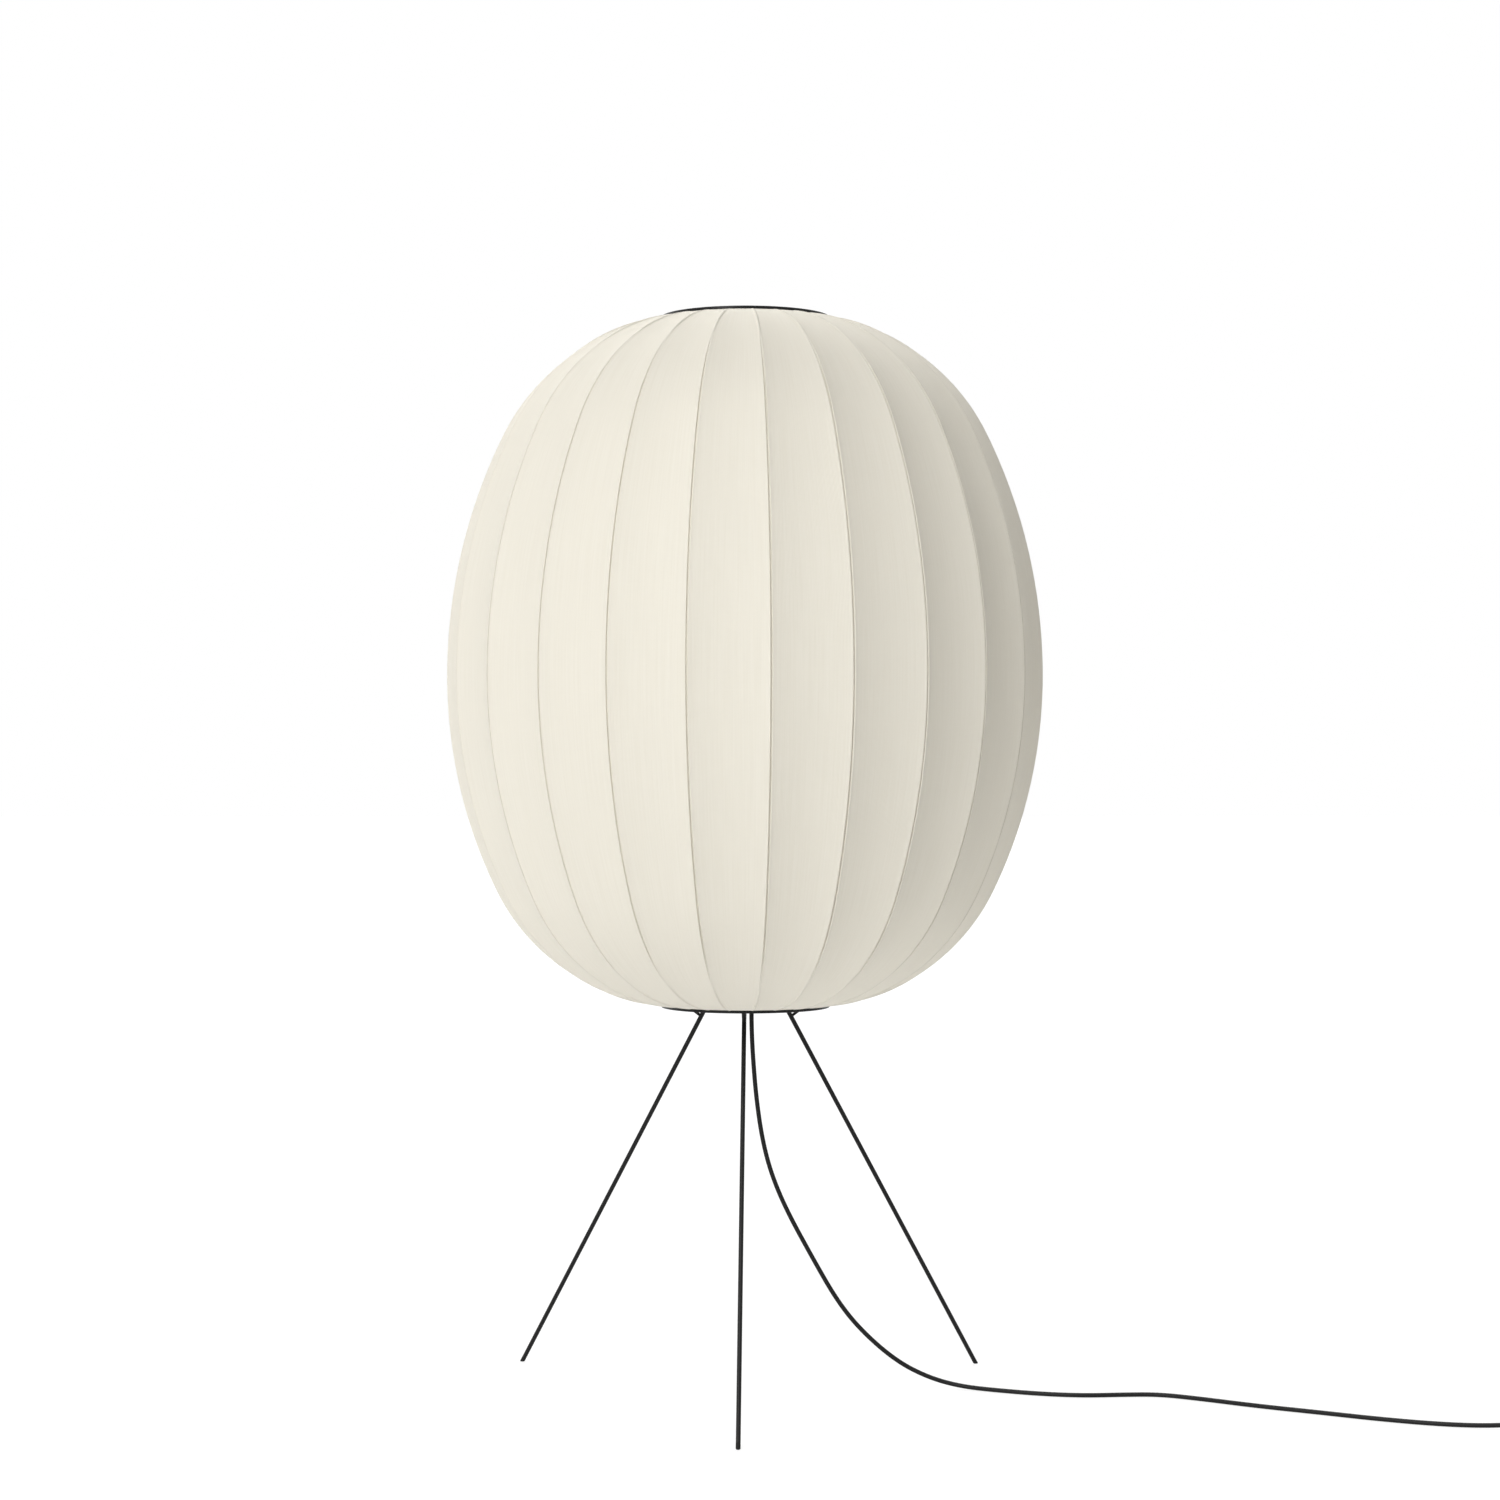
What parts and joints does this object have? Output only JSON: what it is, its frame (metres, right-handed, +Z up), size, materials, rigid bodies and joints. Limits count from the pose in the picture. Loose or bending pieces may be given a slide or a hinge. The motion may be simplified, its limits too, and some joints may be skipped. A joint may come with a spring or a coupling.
{
  "type": "floor lamp",
  "caption": "Floor lamp: a tall rounded knitted shade over bowed ribs between two rings, on a tripod of thin rods, with a corded foot switch and plug.",
  "frame": {"origin": "on the floor under the middle of the shade", "axes": "+Z up, -Y towards the front leg, +X to the right seen from the front"},
  "size_m": [1.3337, 0.6464, 1.172],
  "materials": {
    "knit": "fine rib knit, matte",
    "rib_steel": "off-white lacquered spring wire",
    "black_metal": "satin black powder coat",
    "zinc": "zinc plated",
    "black_rubber": "matte rubber",
    "black_plastic": "matte moulded plastic",
    "cord_black": "matte flexible plastic",
    "brass": "plain",
    "porcelain": "unglazed",
    "bulb_white": "white diffuser",
    "bulb_metal": "plain"
  },
  "bodies": {
    "lamp": {"shade_fabric": "knit", "rib_01": "rib_steel", "rib_02": "rib_steel", "rib_03": "rib_steel", "rib_04": "rib_steel", "rib_05": "rib_steel", "rib_06": "rib_steel", "rib_07": "rib_steel", "rib_08": "rib_steel", "rib_09": "rib_steel", "rib_10": "rib_steel", "rib_11": "rib_steel", "rib_12": "rib_steel", "rib_13": "rib_steel", "rib_14": "rib_steel", "rib_15": "rib_steel", "rib_16": "rib_steel", "rib_17": "rib_steel", "rib_18": "rib_steel", "rib_19": "rib_steel", "rib_20": "rib_steel", "rib_21": "rib_steel", "rib_22": "rib_steel", "rib_23": "rib_steel", "rib_24": "rib_steel", "top_ring": "black_metal", "bottom_plate": "black_metal", "top_clamp_ring": "black_metal", "bottom_clamp_ring": "black_metal", "leg_front": "black_metal", "leg_rear_right": "black_metal", "leg_rear_left": "black_metal", "holder_bracket": "black_metal", "clamp_screws": "zinc", "bracket_screws": "zinc", "leg_wedges": "zinc", "leg_nuts": "zinc", "threaded_tube": "zinc", "tube_nut": "zinc", "foot_tips": "black_rubber", "cord_grip": "black_plastic", "grommet": "black_plastic", "holder_cap": "black_plastic", "holder_body": "black_plastic", "holder_ring": "black_plastic", "switch_base": "black_plastic", "switch_cover": "black_plastic", "plug_body": "black_plastic", "holder_insulator": "porcelain", "screw_shell": "brass", "centre_contact": "brass", "plug_pins": "brass", "cord_inner": "cord_black", "cord_lead": "cord_black", "cord_coil": "cord_black"},
    "bulb_base": {"bulb_base": "brass"},
    "bulb": {"bulb_cap": "bulb_metal", "bulb_collar": "bulb_white", "bulb_globe": "bulb_white"},
    "switch_button": {"switch_button": "black_plastic"}
  },
  "joints": [
    {"name": "bulb_lift", "type": "slide", "parent": "lamp", "child": "bulb_base", "axis": [0, 0, 1], "range_m": [0, 0.0145]},
    {"name": "bulb_turn", "type": "hinge", "parent": "bulb_base", "child": "bulb", "pos_m": [0, 0, 0.6], "axis": [0, 0, 1], "range_deg": [0, 1440]},
    {"name": "switch_press", "type": "slide", "parent": "lamp", "child": "switch_button", "axis": [0, 0, -1], "range_m": [0, 0.003], "stiffness_N_per_m": 800}
  ],
  "couplings": [
    {"joint": "bulb_turn", "follows": "bulb_lift", "rad_per_m": 1731.6}
  ]
}
